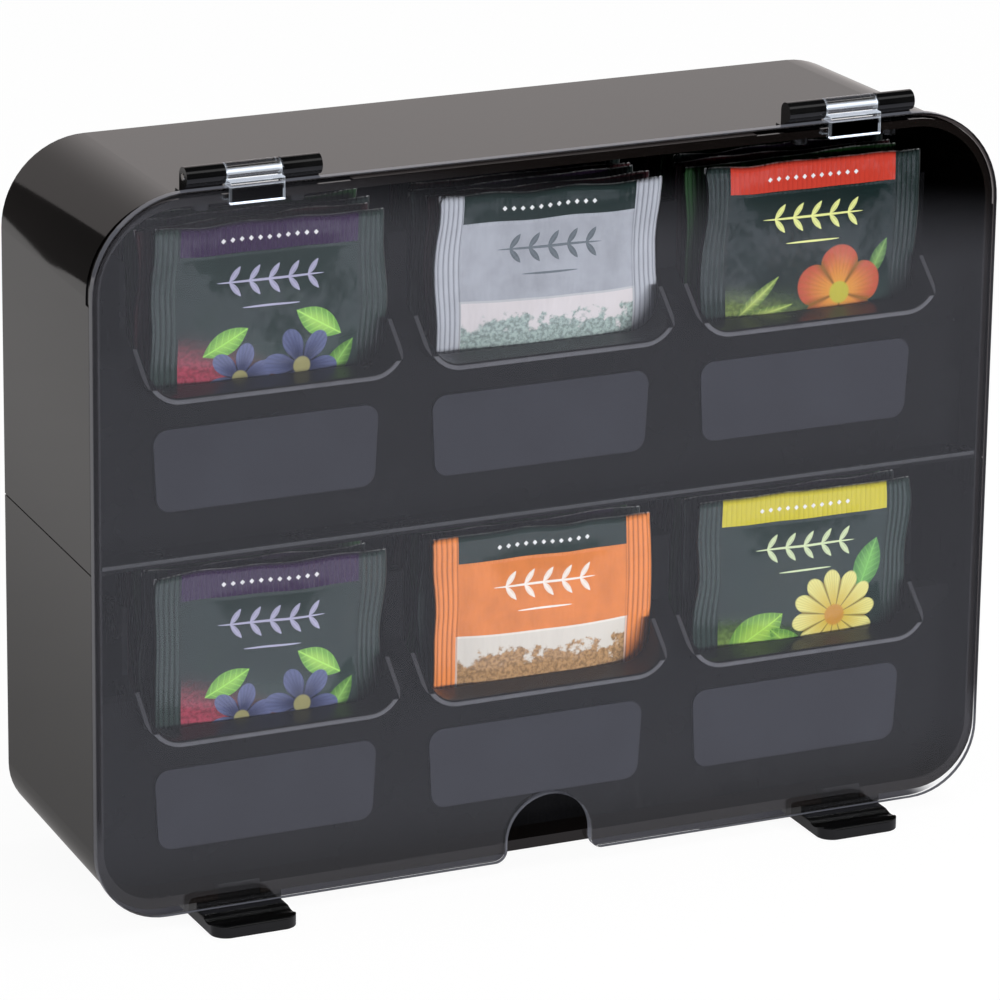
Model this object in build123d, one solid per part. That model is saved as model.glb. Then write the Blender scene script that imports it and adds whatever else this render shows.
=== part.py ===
# Counter box for tea sachets: black outer shell, two inner trays of three compartments
# each, a clear lift-up door on two hinges, and two feet.
# Millimetres. +Z is up, -Y is the front with the door, the origin is the centre of
# the bounding box at the level of the ground.
import os

from build123d import (
    Align,
    Axis,
    Box,
    Circle,
    Compound,
    Cylinder,
    Plane,
    Polygon,
    Pos,
    Rectangle,
    Rot,
    export_step,
    extrude,
    fillet,
    loft,
)

# Door
door_width = 260.0
door_height = 196.0
door_thickness = 2.8
door_top_radius = 26.4
door_bottom_radius = 19.6
door_overhang = 1.9
door_side_overhang = 0.2
door_edge_radius = 0.5
door_gap = 0.3
notch_width = 24.7
notch_height = 17.7
notch_mouth_radius = 3.5

# Outer shell
shell_depth = 71.1
shell_wall = 2.5
shell_floor = 3.0
shell_taper = 1.2
shell_side_taper = 2.9
side_groove = 0.4
rim_step_width = 2.4
rim_step_depth = 0.35
rim_step_inset = 9.0

# Shelf between the tiers and the ribs that carry it
shelf_thickness = 2.0
shelf_clearance = 0.2
rib_height = 2.5
rib_depth = 3.0
rib_setback = 6.0

# Trays
divider_width = 5.6
tray_side_margin = 10.9
tray_head_room = 15.35
tray_floor = 2.0
tray_wall = 1.6
tray_face_setback = 8.5
tray_side_clearance = 0.3
rim_level = 41.65
rim_width = 2.0
rim_inset = 0.9
rim_corner_radius = 9.1
rim_edge_radius = 0.8
rim_setback = 0.3
rim_slope_start = 3.9
rim_slope_height = 12.2
rim_slope_depth = 14.0

# Label plates
label_margin = 4.7
label_taper = 1.2
label_height = 22.4
label_level = 9.8
label_thickness = 0.8
label_radius = 4.0

# Sachets
sachet_side_room = 3.9
sachet_head_room = 7.55
sachet_thickness = 5.0
sachet_gap = 0.5
sachet_clearance = 0.3
sachets_per_stack = 6
# how far each stack leans to the right, as a share of the free room beside it
sachet_shifts = {
    "upper_left": 0.70,
    "upper_middle": 0.94,
    "upper_right": 0.78,
    "lower_left": 0.80,
    "lower_middle": 0.94,
    "lower_right": 0.97,
}

# Hinges
hinge_from_side = 44.6
knuckle_radius = 2.7
knuckle_width = 10.8
hinge_rise = 3.0
hinge_setback = 3.3
leaf_width = 15.0
leaf_side_gap = 0.3
leaf_thickness = 1.3
leaf_pad_height = 4.3
leaf_shoulder = 1.8
pin_radius = 1.0
pin_running_fit = 0.05
pin_proud = 0.2
pin_blind = 2.0
bracket_base_depth = 5.4
bracket_base_height = 0.8
bracket_web_depth = 1.2
peg_radius = 1.5
peg_clearance = 0.1
peg_head_radius = 2.3
peg_head_height = 0.7
peg_setback = 3.4

# Feet
foot_from_side = 40.7
foot_width = 24.0
foot_drop = 3.7
toe_reach = 11.5
toe_thickness = 3.2
toe_corner_radius = 4.0
toe_edge_radius = 0.6
toe_dish_depth = 0.9
toe_dish_radius = 6.0
toe_dish_setback = 6.4
foot_back_setback = 4.0
clip_width = 11.6
clip_thickness = 2.0
clip_rise = 1.1
clip_lip = 1.2
clip_setback = 0.3
clip_clearance = 0.2
foot_peg_radius = 2.5
foot_peg_setback = 12.0

# Positions that follow from the sizes above
door_front = (toe_reach - door_thickness - door_gap - shell_depth) / 2
door_back = door_front + door_thickness
door_bottom = foot_drop
door_top = door_bottom + door_height
shell_front = door_back + door_gap
shell_back = shell_front + shell_depth
shell_half_width = door_width / 2 - door_side_overhang
shell_bottom = door_bottom + door_overhang
shell_top = door_top - door_overhang
cavity_back = shell_back - shell_wall
lower_base = shell_bottom + shell_floor
tier_pitch = (shell_top - shell_wall - lower_base) / 2
shelf_top = lower_base + tier_pitch
shelf_bottom = shelf_top - shelf_thickness
tier_height = tier_pitch - shelf_thickness
tray_face = shell_front + tray_face_setback
tray_back = cavity_back - tray_side_clearance
inner_half_width = shell_half_width - shell_wall - tray_side_margin - tray_wall
compartment_width = (2 * inner_half_width - 2 * divider_width) / 3
compartment_half_width = compartment_width / 2
column_pitch = compartment_width + divider_width
tray_height = tier_height - tray_head_room
rim_half_width = compartment_half_width - rim_inset
sachet_width = compartment_width - 2 * sachet_side_room
sachet_height = tier_height - tray_floor - sachet_clearance - sachet_head_room
sachet_room = sachet_side_room - sachet_clearance
hinge_offset = door_width / 2 - hinge_from_side
foot_offset = door_width / 2 - foot_from_side
pin_y = door_front + hinge_setback
pin_z = door_top + hinge_rise
toe_front = door_front - toe_reach
far = 500.0

tier_bases = {"upper": shelf_top, "lower": lower_base}
column_centres = {"left": -column_pitch, "middle": 0.0, "right": column_pitch}
sides = {"left": -1, "right": 1}


def block(x_low, x_high, y_low, y_high, z_low, z_high):
    size = Box(x_high - x_low, y_high - y_low, z_high - z_low)
    return Pos((x_low + x_high) / 2, (y_low + y_high) / 2, (z_low + z_high) / 2) * size


def front_plane(y):
    return Plane(origin=(0, y, 0), x_dir=(1, 0, 0), z_dir=(0, -1, 0))


def push_back(sketch, y, depth):
    return extrude(front_plane(y) * sketch, amount=-depth)


def along_x(points, x_low, x_high):
    # extrudes a polygon of (y, z) points between two X positions
    side_plane = Plane(origin=(x_low, 0, 0), x_dir=(0, 1, 0), z_dir=(1, 0, 0))
    return extrude(side_plane * Polygon(*points, align=None), amount=x_high - x_low)


def rod(x_low, x_high, y, z, radius):
    side_plane = Plane(origin=(x_low, y, z), x_dir=(0, 1, 0), z_dir=(1, 0, 0))
    return extrude(side_plane * Circle(radius), amount=x_high - x_low)


def upright(x, y, z_low, z_high, radius):
    return Pos(x, y, z_low) * Cylinder(
        radius, z_high - z_low, align=(Align.CENTER, Align.CENTER, Align.MIN)
    )


def rounded_outline(half_width, bottom, top, bottom_radius, top_radius):
    outline = Pos(0, (bottom + top) / 2) * Rectangle(2 * half_width, top - bottom)
    outline = fillet(outline.vertices().sort_by(Axis.Y)[2:], top_radius)
    corners = outline.vertices().sort_by(Axis.Y)[:2]
    return fillet(corners, bottom_radius)


def shell_section(y, inset, floor_inset):
    # cross-section of the tapering shell at depth y, drawn inwards by the insets
    depth_share = (y - shell_front) / shell_depth
    drawn = shell_taper * depth_share
    outline = rounded_outline(
        shell_half_width - shell_side_taper * depth_share - inset,
        shell_bottom + drawn + floor_inset,
        shell_top - drawn - inset,
        door_bottom_radius - door_overhang - drawn - inset,
        door_top_radius - door_overhang - drawn - inset,
    )
    return front_plane(y) * outline


def shell_volume(y_low, y_high, inset=0.0, floor_inset=0.0):
    sections = [
        shell_section(y_low, inset, floor_inset),
        shell_section(y_high, inset, floor_inset),
    ]
    return loft(sections, ruled=True)


shell_outside = shell_volume(shell_front, shell_back)
shell_cavity = shell_volume(shell_front - 2, cavity_back, shell_wall, shell_floor)


def make_outer_shell():
    shell = shell_outside - shell_cavity
    # ribs for the shelf run along both sides and the back
    rib_zone = shell_volume(shell_front, cavity_back + shell_wall / 2, shell_wall / 2, shell_floor)
    rib_hollow = shell_volume(
        shell_front - 2, cavity_back - rib_depth, shell_wall + rib_depth, shell_floor
    )
    rib_slab = block(-far, far, shell_front + rib_setback, shell_back, shelf_bottom - rib_height, shelf_bottom)
    shell += (rib_zone & rib_slab) - rib_hollow
    # shallow line along each outer side at the level of the shelf
    groove_core = shell_volume(shell_front - 2, shell_back + 2, side_groove)
    groove_slab = block(
        -far, far, shell_front, shell_back, shelf_bottom - side_groove, shelf_bottom
    )
    groove_slab -= groove_core
    shell -= groove_slab
    # stepped front rim over the top corners, outside the hinges
    step_core = shell_volume(shell_front - 2, shell_back, rim_step_depth, rim_step_depth)
    step_start = hinge_offset - leaf_width / 2 - leaf_side_gap - knuckle_width - rim_step_inset
    step_level = shell_top - door_top_radius
    for side in sides.values():
        ends = sorted((side * step_start, side * far))
        step = block(*ends, shell_front - 1, shell_front + rim_step_width, step_level, far)
        shell -= step - step_core
    for side in sides.values():
        for peg_x in peg_positions(side):
            shell -= upright(
                peg_x, shell_front + peg_setback, shell_top - 4 * shell_wall, far,
                peg_radius + peg_clearance,
            )
        clip_half = clip_width / 2 + clip_clearance
        clip_x = side * foot_offset
        shell -= block(
            clip_x - clip_half, clip_x + clip_half, shell_front - 1,
            shell_front + clip_setback + clip_thickness + clip_clearance, 0, lower_base + 1,
        )
        shell -= upright(
            clip_x, shell_back - foot_peg_setback, 0, lower_base + shell_taper + 1,
            foot_peg_radius + clip_clearance,
        )
    return shell


def make_mid_shelf():
    envelope = shell_volume(
        shell_front, cavity_back - shelf_clearance, shell_wall + shelf_clearance, shell_floor
    )
    return envelope & block(-far, far, -far, far, shelf_bottom, shelf_top)


def opening_outline(base, spread):
    # the U of one compartment opening, spread outwards from the rim's middle line
    half_width = rim_half_width + spread
    bottom = base + rim_level - spread
    top = base + tray_height + 10
    outline = Pos(0, (bottom + top) / 2) * Rectangle(2 * half_width, top - bottom)
    return fillet(outline.vertices().sort_by(Axis.Y)[:2], rim_corner_radius + spread)


def make_tray(base):
    envelope = shell_volume(
        shell_front - 2, tray_back, shell_wall + tray_side_clearance, shell_floor
    )
    top = base + tray_height
    rim_front = shell_front + rim_setback
    face_back = tray_face + tray_wall
    wall_outside = column_pitch + compartment_half_width + tray_wall
    compartment_floor = base + tray_floor
    inner_back = tray_back - tray_wall
    tray = envelope & block(-far, far, tray_face, tray_back, base, top)
    for centre in column_centres.values():
        tray += Pos(centre, 0, 0) * push_back(
            opening_outline(base, rim_width / 2), rim_front, face_back - rim_front
        )
    for centre in column_centres.values():
        tray -= Pos(centre, 0, 0) * push_back(
            opening_outline(base, -rim_width / 2), rim_front - 1, face_back - rim_front + 2
        )
        tray -= block(
            centre - compartment_half_width, centre + compartment_half_width,
            face_back, inner_back, compartment_floor, far,
        )
    for side in sides.values():
        ends = sorted((side * wall_outside, side * far))
        tray -= block(*ends, face_back, inner_back, compartment_floor, far)
        # the folded divider between two compartments is hollow from below
        hollow_half = column_pitch / 2 - compartment_half_width - tray_wall
        middle = side * column_pitch / 2
        tray -= block(
            middle - hollow_half, middle + hollow_half,
            face_back + rim_slope_depth / 2, inner_back, base - 5, top - tray_wall,
        )
    # the rims slope back as they rise and run out into the upright divider edges
    slope_low = base + rim_level + rim_slope_start
    slope_high = slope_low + rim_slope_height
    slope_cut = [
        (rim_front - 20, slope_low),
        (rim_front, slope_low),
        (rim_front + rim_slope_depth, slope_high),
        (rim_front + rim_slope_depth, top + 20),
        (rim_front - 20, top + 20),
    ]
    tray -= along_x(slope_cut, -far, far)
    rim_edges = tray.edges().filter_by_position(Axis.Y, rim_front - 0.01, rim_front + 0.01)
    return fillet(rim_edges, rim_edge_radius)


def make_label_plate(base, centre):
    low = base + label_level
    high = low + label_height
    top_half = compartment_half_width - label_margin
    bottom_half = top_half - label_taper
    corners = [
        (centre - bottom_half, low),
        (centre + bottom_half, low),
        (centre + top_half, high),
        (centre - top_half, high),
    ]
    outline = Polygon(*corners, align=None)
    outline = fillet(outline.vertices(), label_radius)
    return push_back(outline, tray_face - label_thickness, label_thickness)


def make_sachet_stack(base, centre, share):
    sachets = []
    shift = share * sachet_room
    first = tray_face + tray_wall + sachet_gap
    low = base + tray_floor + sachet_clearance
    for index in range(sachets_per_stack):
        front = first + index * (sachet_thickness + sachet_gap)
        sachets.append(
            block(
                centre + shift - sachet_width / 2, centre + shift + sachet_width / 2,
                front, front + sachet_thickness, low, low + sachet_height,
            )
        )
    return Compound(children=sachets)


def make_door_panel():
    outline = rounded_outline(
        door_width / 2, door_bottom, door_top, door_bottom_radius, door_top_radius
    )
    notch_radius = notch_width / 2
    straight = notch_height - notch_radius
    notch = Pos(0, door_bottom + straight) * Circle(notch_radius)
    notch += Pos(0, door_bottom + straight / 2 - 1) * Rectangle(notch_width, straight + 2)
    outline -= notch
    mouth = [
        corner for corner in outline.vertices()
        if abs(abs(corner.X) - notch_radius) < 0.01 and abs(corner.Y - door_bottom) < 0.01
    ]
    outline = fillet(mouth, notch_mouth_radius)
    panel = push_back(outline, door_front, door_thickness)
    face_edges = panel.edges().filter_by_position(Axis.Y, door_front, door_front)
    face_edges += panel.edges().filter_by_position(Axis.Y, door_back, door_back)
    return fillet(face_edges, door_edge_radius)


def make_hinge_leaf(side):
    centre = side * hinge_offset
    low = centre - leaf_width / 2
    high = centre + leaf_width / 2
    leaf = rod(low, high, pin_y, pin_z, knuckle_radius)
    leaf += block(
        low, high, door_front - leaf_thickness, pin_y, door_top, door_top + leaf_shoulder
    )
    leaf += block(
        low, high, door_front - leaf_thickness, door_front,
        door_top - leaf_pad_height, door_top + leaf_shoulder,
    )
    return leaf - rod(low - 1, high + 1, pin_y, pin_z, pin_radius + pin_running_fit)


def knuckle_spans(side):
    # X ranges of the outer and the inner bracket knuckle
    near = leaf_width / 2 + leaf_side_gap
    centre = side * hinge_offset
    outer = sorted((centre + side * near, centre + side * (near + knuckle_width)))
    inner = sorted((centre - side * near, centre - side * (near + knuckle_width)))
    return [outer, inner]


def peg_positions(side):
    return [(low + high) / 2 for low, high in knuckle_spans(side)]


def make_hinge_bracket(side):
    outer, inner = knuckle_spans(side)
    shell_level = shell_top - shell_taper
    stem_front = shell_front + 0.2
    stem_back = pin_y + knuckle_radius
    base_top = shell_top + bracket_base_height
    bracket = None
    for low, high in (outer, inner):
        knuckle = rod(low, high, pin_y, pin_z, knuckle_radius)
        knuckle += block(low, high, stem_front, stem_back, shell_level, pin_z)
        knuckle += block(
            low, high, stem_front, stem_front + bracket_base_depth, shell_level, base_top
        )
        bracket = knuckle if bracket is None else bracket + knuckle
    web_low = min(outer[1], inner[1]) - 0.5
    web_high = max(outer[0], inner[0]) + 0.5
    bracket += block(
        web_low, web_high, stem_front, stem_front + bracket_web_depth, shell_level, base_top
    )
    bracket -= shell_outside
    for peg_x in peg_positions(side):
        peg_y = shell_front + peg_setback
        peg_low = shell_top - shell_wall - shell_taper - peg_head_height
        bracket += upright(peg_x, peg_y, peg_low, base_top, peg_radius)
        head = upright(peg_x, peg_y, peg_low, shell_top, peg_head_radius)
        bracket += head & shell_cavity
    bore = pin_span(side)
    return bracket - rod(*bore, pin_y, pin_z, pin_radius)


def pin_span(side):
    # the pin enters from the outer end and stops inside the inner knuckle
    outer, inner = knuckle_spans(side)
    if side > 0:
        return [inner[0] + pin_blind, outer[1] + pin_proud]
    return [outer[0] - pin_proud, inner[1] - pin_blind]


def make_hinge_pin(side):
    return rod(*pin_span(side), pin_y, pin_z, pin_radius)


def make_foot(side):
    centre = side * foot_offset
    back = shell_back - foot_back_setback
    plan = Pos(centre, (toe_front + back) / 2) * Rectangle(foot_width, back - toe_front)
    plan = fillet(plan.vertices().sort_by(Axis.Y)[:2], toe_corner_radius)
    toe = extrude(plan, amount=toe_thickness)
    toe = fillet(toe.edges().group_by(Axis.Z)[-1], toe_edge_radius)
    dish_y = toe_front + toe_dish_setback
    dish_z = toe_thickness + toe_dish_radius - toe_dish_depth
    toe -= rod(centre - foot_width, centre + foot_width, dish_y, dish_z, toe_dish_radius)
    runner = block(
        centre - foot_width / 2, centre + foot_width / 2, shell_front + clip_setback, back,
        0, shell_bottom + shell_taper,
    )
    foot = (toe + runner) - shell_outside
    clip_front = shell_front + clip_setback
    clip_back = clip_front + clip_thickness
    clip_low = shell_bottom - 1
    clip_top = lower_base + clip_rise
    foot += block(
        centre - clip_width / 2, centre + clip_width / 2, clip_front, clip_back,
        clip_low, clip_top,
    )
    lip = block(
        centre - clip_width / 2, centre + clip_width / 2, clip_front,
        clip_back + clip_lip, clip_low, clip_top,
    )
    foot += lip & shell_cavity
    foot += upright(
        centre, shell_back - foot_peg_setback, 1, lower_base - sachet_clearance, foot_peg_radius
    )
    return foot


def save(shape, node):
    solids = shape.solids()
    body = solids[0] if len(solids) == 1 else Compound(children=list(solids))
    body.label = node
    export_step(body, f"parts/{node}.step")
    size = body.bounding_box().size
    print(node, len(solids), "solids", round(body.volume, 1), "mm3",
          round(size.X, 2), round(size.Y, 2), round(size.Z, 2))


os.makedirs("parts", exist_ok=True)
save(make_outer_shell(), "outer_shell")
save(make_mid_shelf(), "mid_shelf")
save(make_door_panel(), "door_panel")
for tier, base in tier_bases.items():
    save(make_tray(base), f"{tier}_tray")
    for column, centre in column_centres.items():
        place = f"{tier}_{column}"
        save(make_label_plate(base, centre), f"label_plate_{place}")
        save(make_sachet_stack(base, centre, sachet_shifts[place]), f"sachet_stack_{place}")
for hand, side in sides.items():
    save(make_hinge_leaf(side), f"hinge_leaf_{hand}")
    save(make_hinge_bracket(side), f"hinge_bracket_{hand}")
    save(make_hinge_pin(side), f"hinge_pin_{hand}")
    save(make_foot(side), f"foot_{hand}")
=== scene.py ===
import math

import bmesh
import bpy
from mathutils import Matrix, Vector, noise


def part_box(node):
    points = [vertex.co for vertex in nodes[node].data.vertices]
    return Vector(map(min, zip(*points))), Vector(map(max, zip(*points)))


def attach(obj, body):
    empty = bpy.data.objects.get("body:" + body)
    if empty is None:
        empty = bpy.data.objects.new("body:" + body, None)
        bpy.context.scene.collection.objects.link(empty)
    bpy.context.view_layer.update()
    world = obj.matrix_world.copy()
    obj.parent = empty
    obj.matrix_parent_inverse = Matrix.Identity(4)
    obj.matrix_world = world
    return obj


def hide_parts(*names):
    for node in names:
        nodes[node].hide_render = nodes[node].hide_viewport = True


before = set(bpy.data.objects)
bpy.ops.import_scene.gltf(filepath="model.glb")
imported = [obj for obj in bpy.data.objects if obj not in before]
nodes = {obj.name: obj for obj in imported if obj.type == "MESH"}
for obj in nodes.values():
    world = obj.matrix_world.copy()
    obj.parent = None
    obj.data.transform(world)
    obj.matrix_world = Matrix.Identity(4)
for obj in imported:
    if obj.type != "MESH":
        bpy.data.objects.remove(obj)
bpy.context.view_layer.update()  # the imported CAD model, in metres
print("frame loaded:", len(nodes), "nodes")


def addNode(tree, kind, inputs=None, **settings):
    node = tree.nodes.new(kind)
    for name, value in settings.items():
        setattr(node, name, value)
    for name, value in (inputs or {}).items():
        socket = node.inputs[name]
        if isinstance(value, bpy.types.NodeSocket):
            tree.links.new(value, socket)
        else:
            socket.default_value = value
    return node


def calc(tree, operation, first, second=0.0, third=0.0, clamp=False):
    node = addNode(tree, "ShaderNodeMath", {0: first, 1: second, 2: third},
                   operation=operation, use_clamp=clamp)
    return node.outputs[0]


def plus(tree, first, second, clamp=False):
    return calc(tree, "ADD", first, second, clamp=clamp)


def minus(tree, first, second, clamp=False):
    return calc(tree, "SUBTRACT", first, second, clamp=clamp)


def times(tree, first, second, clamp=False):
    return calc(tree, "MULTIPLY", first, second, clamp=clamp)


def larger(tree, first, second):
    return calc(tree, "MAXIMUM", first, second)


def absolute(tree, value):
    return calc(tree, "ABSOLUTE", value)


def remap(tree, value, low, high, toLow=0.0, toHigh=1.0):
    node = addNode(tree, "ShaderNodeMapRange",
                   {"Value": value, "From Min": low, "From Max": high,
                    "To Min": toLow, "To Max": toHigh},
                   interpolation_type="SMOOTHSTEP")
    return node.outputs[0]


def blendColors(tree, factor, first, second):
    node = addNode(tree, "ShaderNodeMix", {0: factor, 6: first, 7: second}, data_type="RGBA")
    return node.outputs[2]


def noiseOf(tree, vector, scale, detail=3.0, roughness=0.55):
    node = addNode(tree, "ShaderNodeTexNoise",
                   {"Vector": vector, "Scale": scale, "Detail": detail, "Roughness": roughness})
    return node.outputs[0]


def objectPlace(tree, scale=(1, 1, 1), turn=(0, 0, 0)):
    place = addNode(tree, "ShaderNodeTexCoord").outputs["Object"]
    mapping = addNode(tree, "ShaderNodeMapping", {"Vector": place, "Scale": scale, "Rotation": turn})
    return mapping.outputs[0]


def axes(tree):
    # x, y and z of the frame, since every finished object sits at the origin
    place = addNode(tree, "ShaderNodeTexCoord").outputs["Object"]
    return addNode(tree, "ShaderNodeSeparateXYZ", {0: place}).outputs


def newGroup(name, inputs, outputs):
    kinds = {float: "NodeSocketFloat", tuple: "NodeSocketColor"}
    group = bpy.data.node_groups.new(name, "ShaderNodeTree")
    for title, value in inputs.items():
        socket = group.interface.new_socket(title, in_out="INPUT", socket_type=kinds[type(value)])
        socket.default_value = value
    for title, kind in outputs.items():
        group.interface.new_socket(title, in_out="OUTPUT", socket_type=kinds[kind])
    given = addNode(group, "NodeGroupInput").outputs
    result = addNode(group, "NodeGroupOutput").inputs
    return group, given, result


def useGroup(tree, group, values):
    return addNode(tree, "ShaderNodeGroup", values, node_tree=group).outputs


def emptyTree(holder):
    holder.use_nodes = True
    holder.node_tree.nodes.clear()
    return holder.node_tree


def newMaterial(name):
    material = bpy.data.materials.new(name)
    tree = emptyTree(material)
    surface = addNode(tree, "ShaderNodeOutputMaterial").inputs["Surface"]
    shader = addNode(tree, "ShaderNodeBsdfPrincipled")
    tree.links.new(shader.outputs[0], surface)
    return material, tree, shader, surface


def feed(tree, shader, **sockets):
    names = {"color": "Base Color", "roughness": "Roughness", "metallic": "Metallic",
             "normal": "Normal", "coat": "Coat Weight", "emission": "Emission Color"}
    for key, value in sockets.items():
        tree.links.new(value, shader.inputs[names[key]])


def bumpFrom(tree, height, strength, distance):
    bump = addNode(tree, "ShaderNodeBump",
                   {"Height": height, "Strength": strength, "Distance": distance})
    return bump.outputs[0]


def rgba(color):
    return (*color, 1.0)


def toned(color, factor, lift=0.0):
    return rgba([min(1.0, factor * part + lift) for part in color])


def addObject(name, data):
    piece = bpy.data.objects.new(name, data)
    bpy.context.scene.collection.objects.link(piece)
    return piece


def meshObject(name, mesh):
    data = bpy.data.meshes.new(name)
    mesh.to_mesh(data)
    mesh.free()
    return addObject(name, data)


def mouldedSkinGroup():
    # moulded plastic: cloudy colour, fine grain and long flow marks
    group, given, result = newGroup(
        "mouldedSkin",
        {"Color": (0.02, 0.02, 0.02, 1.0), "Second Color": (0.03, 0.03, 0.03, 1.0),
         "Cloud Scale": 25.0, "Grain Scale": 900.0, "Roughness": 0.2, "Spread": 0.06},
        {"Color": tuple, "Roughness": float, "Height": float})
    place = objectPlace(group)
    cloud = noiseOf(group, place, given["Cloud Scale"], 4.0)
    grain = noiseOf(group, place, given["Grain Scale"], 2.0)
    flow = noiseOf(group, objectPlace(group, (14, 14, 220)), 1.0, 3.0)
    patch = remap(group, cloud, 0.35, 0.7)
    group.links.new(blendColors(group, patch, given["Color"], given["Second Color"]), result["Color"])
    swing = minus(group, plus(group, cloud, times(group, grain, 0.4)), 0.7)
    rough = calc(group, "MULTIPLY_ADD", swing, given["Spread"], given["Roughness"], clamp=True)
    group.links.new(rough, result["Roughness"])
    height = plus(group, grain, times(group, flow, 0.5))
    group.links.new(height, result["Height"])
    return group


def handlingGroup():
    # what hands leave on a polished face: hairline scratches and faint smudges
    group, given, result = newGroup(
        "handling", {"Scratch Scale": 60.0, "Smudge Scale": 18.0, "Amount": 1.0},
        {"Mask": float})
    marks = None
    for turn, stretch in ((0.35, 0.06), (-0.8, 0.05), (1.2, 0.07)):
        place = objectPlace(group, (1.0, 1.0, stretch), (0, turn, 0))
        lines = noiseOf(group, place, times(group, given["Scratch Scale"], 14.0), 1.0)
        thin = remap(group, lines, 0.70, 0.78)
        marks = thin if marks is None else larger(group, marks, thin)
    smudge = remap(group, noiseOf(group, objectPlace(group), given["Smudge Scale"], 5.0), 0.5, 0.8)
    both = plus(group, times(group, marks, 0.6), times(group, smudge, 0.5))
    group.links.new(times(group, both, given["Amount"], clamp=True), result["Mask"])
    return group


def sachetLayoutGroup():
    # where the seams, the top band and the picture lie on a sachet, from its UV map
    group, given, result = newGroup(
        "sachetLayout",
        {"Width": 65.0, "Height": 81.5, "Seam": 7.6, "Band": 8.0, "Picture Top": 50.0,
         "Frame": 0.6, "Crimp Pitch": 2.9},
        dict.fromkeys(("X", "Y", "Seam Mask", "Band Mask", "Picture Mask", "Frame Mask", "Crimp",
                       "Crease", "Cut Edge"), float))
    uv = addNode(group, "ShaderNodeTexCoord").outputs["UV"]
    split = addNode(group, "ShaderNodeSeparateXYZ", {0: uv}).outputs
    x = times(group, split[0], given["Width"])
    y = times(group, split[1], given["Height"])
    halfWidth = times(group, given["Width"], 0.5)
    side = absolute(group, minus(group, x, halfWidth))
    fromTop = minus(group, given["Height"], y)
    halfPanel = minus(group, halfWidth, given["Seam"])
    inPanel = calc(group, "LESS_THAN", side, halfPanel)
    seam = remap(group, minus(group, side, halfPanel), -0.4, 0.4)
    band = times(group, inPanel, calc(group, "LESS_THAN", fromTop, given["Band"]))
    # the picture stands in a thin frame, open at the bottom
    inFrame = calc(group, "LESS_THAN", side, plus(group, halfPanel, given["Frame"]))
    framed = times(group, inFrame, calc(group, "LESS_THAN", y, given["Picture Top"]))
    below = calc(group, "LESS_THAN", y, minus(group, given["Picture Top"], given["Frame"]))
    picture = times(group, inPanel, below)
    frameMask = minus(group, framed, picture, clamp=True)
    # ridges run along the side seams, and fainter ones across the top seal
    wave = calc(group, "SINE", calc(group, "DIVIDE", times(group, x, math.tau), given["Crimp Pitch"]))
    topSeal = remap(group, fromTop, 9.0, 8.0)
    crimped = larger(group, seam, times(group, topSeal, 0.6))
    crimp = times(group, calc(group, "POWER", absolute(group, wave), 0.6), crimped)
    nearest = calc(group, "MINIMUM", minus(group, halfWidth, side), fromTop)
    cutEdge = remap(group, nearest, 0.45, 0.15)
    stretched = addNode(group, "ShaderNodeCombineXYZ",
                        {0: times(group, x, 0.05), 1: times(group, y, 0.02)}).outputs[0]
    crease = noiseOf(group, stretched, 2.2, 3.0)
    values = {"X": x, "Y": y, "Seam Mask": seam, "Band Mask": band, "Picture Mask": picture,
              "Frame Mask": frameMask, "Crimp": crimp, "Crease": crease, "Cut Edge": cutEdge}
    for name, value in values.items():
        group.links.new(value, result[name])
    return group


def printedShapeGroup():
    # one printed shape in millimetres: power 2 gives an oval, power 1 a pointed leaf
    group, given, result = newGroup(
        "printedShape",
        {"X": 0.0, "Y": 0.0, "Center X": 0.0, "Center Y": 0.0, "Half Length": 5.0,
         "Half Width": 5.0, "Turn": 0.0, "Power": 2.0},
        {"Mask": float, "Depth": float, "Rib": float})
    dx = minus(group, given["X"], given["Center X"])
    dy = minus(group, given["Y"], given["Center Y"])
    cosine = calc(group, "COSINE", given["Turn"])
    sine = calc(group, "SINE", given["Turn"])
    along = plus(group, times(group, dx, cosine), times(group, dy, sine))
    across = minus(group, times(group, dy, cosine), times(group, dx, sine))
    lengthwise = absolute(group, calc(group, "DIVIDE", along, given["Half Length"]))
    sideways = absolute(group, calc(group, "DIVIDE", across, given["Half Width"]))
    depth = plus(group, calc(group, "POWER", lengthwise, 2.0),
                 calc(group, "POWER", sideways, given["Power"]))
    group.links.new(remap(group, depth, 1.04, 0.96), result["Mask"])
    group.links.new(depth, result["Depth"])
    # a rib along the middle and fainter veins that slant away from it
    fromRib = absolute(group, across)
    veins = calc(group, "SINE", plus(group, times(group, along, 3.2), times(group, fromRib, -2.6)))
    middle = remap(group, fromRib, 0.28, 0.12)
    rib = larger(group, middle, times(group, remap(group, veins, 0.6, 0.95), 0.5))
    group.links.new(rib, result["Rib"])
    return group


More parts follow.
